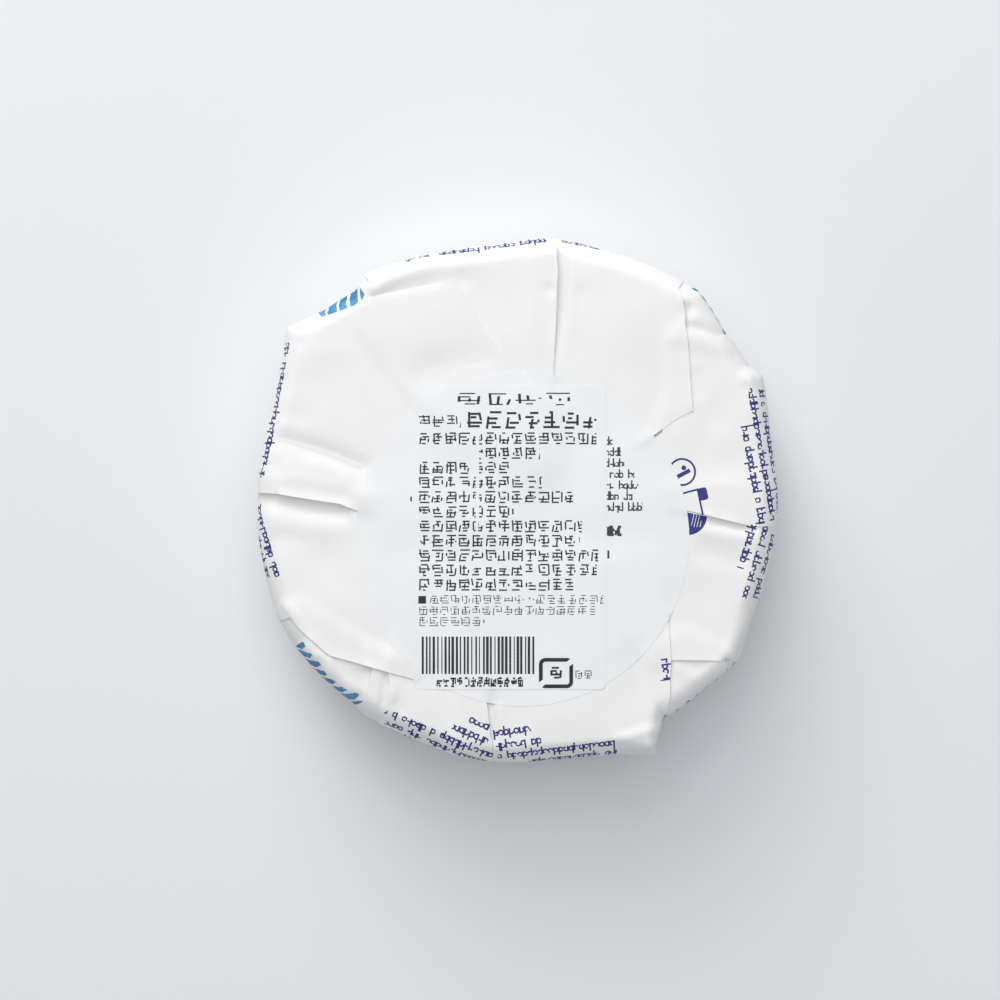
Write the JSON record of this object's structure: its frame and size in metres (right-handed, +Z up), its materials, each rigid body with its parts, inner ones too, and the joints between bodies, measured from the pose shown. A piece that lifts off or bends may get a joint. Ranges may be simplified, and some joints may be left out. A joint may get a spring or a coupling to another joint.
{
  "type": "wrapped cheese wheel",
  "caption": "Small soft-ripened cheese wheel in folded white printed paper, closed on its back with a round sticker and a rectangular label.",
  "frame": {"origin": "on the wheel's axis, on the surface that its front face rests on", "axes": "+Z up along the wheel's axis, out of the folded back; +Y towards the top of the rectangular label, and +X to its right"},
  "size_m": [0.1096, 0.1097, 0.0292],
  "materials": {
    "cheese_rind": "velvety white bloom over a cream rind",
    "wrapping_paper": "thin satin white wrapping paper, printed in blue-violet small type rows and light-blue brush dabs",
    "sticker_paper": "smooth coated white sticker paper with black rows",
    "label_paper": "thermal label paper with black rows and plain bars"
  },
  "bodies": {
    "root": {"cheese_wheel": "cheese_rind", "paper_wrapper": "wrapping_paper", "round_sticker": "sticker_paper", "rectangular_label": "label_paper"}
  },
  "joints": []
}
